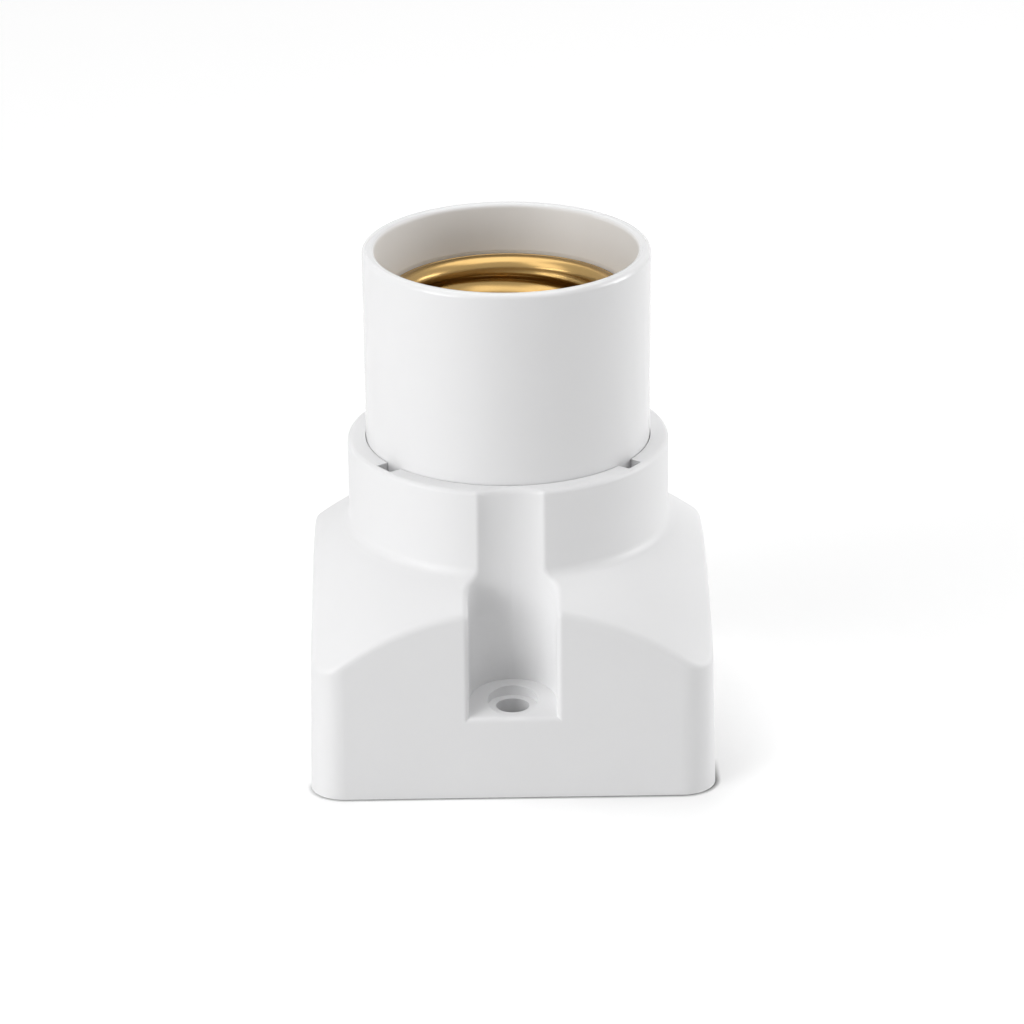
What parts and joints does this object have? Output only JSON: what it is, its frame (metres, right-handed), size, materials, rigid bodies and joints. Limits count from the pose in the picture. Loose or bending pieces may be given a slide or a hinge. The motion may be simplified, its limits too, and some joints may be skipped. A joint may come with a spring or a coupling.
{
  "type": "batten lamp holder",
  "caption": "Surface-mounted lamp holder: square base with two screw channels, latched round barrel and brass screw shell over a sprung centre contact.",
  "frame": {"origin": "middle of the square foot on the mounting surface", "axes": "+Z out of the lamp mouth, the screw channels face -Y and +Y, the live terminal is on +X"},
  "size_m": [0.05, 0.05, 0.0629],
  "materials": {
    "housing": "satin white",
    "barrel": "satin white",
    "carrier": "matt off-white",
    "shell": "bright rolled brass",
    "contact": "spring bronze",
    "strip": "plain brass",
    "rivet": "plain brass",
    "terminal": "drawn brass",
    "screw": "zinc plated"
  },
  "bodies": {
    "holder": {"base_housing": "housing", "barrel": "barrel", "screw_shell": "shell", "contact_carrier": "carrier", "contact_tongue": "contact", "centre_rivet": "rivet", "front_shell_rivet": "rivet", "rear_shell_rivet": "rivet", "live_strip": "strip", "neutral_strip": "strip", "live_terminal": "terminal", "neutral_terminal": "terminal"},
    "contact": {"contact_button": "contact"},
    "live_screw": {"live_terminal_screw": "screw"},
    "neutral_screw": {"neutral_terminal_screw": "screw"}
  },
  "joints": [
    {"name": "contact_press", "type": "slide", "parent": "holder", "child": "contact", "axis": [0, 0, -1], "range_m": [0, 0.0012], "stiffness_N_per_m": 4000, "deforming": ["contact_tongue"]},
    {"name": "live_screw_travel", "type": "slide", "parent": "holder", "child": "live_screw", "axis": [0, 0, 1], "range_m": [0, 0.0028]},
    {"name": "neutral_screw_travel", "type": "slide", "parent": "holder", "child": "neutral_screw", "axis": [0, 0, 1], "range_m": [0, 0.0028]}
  ]
}
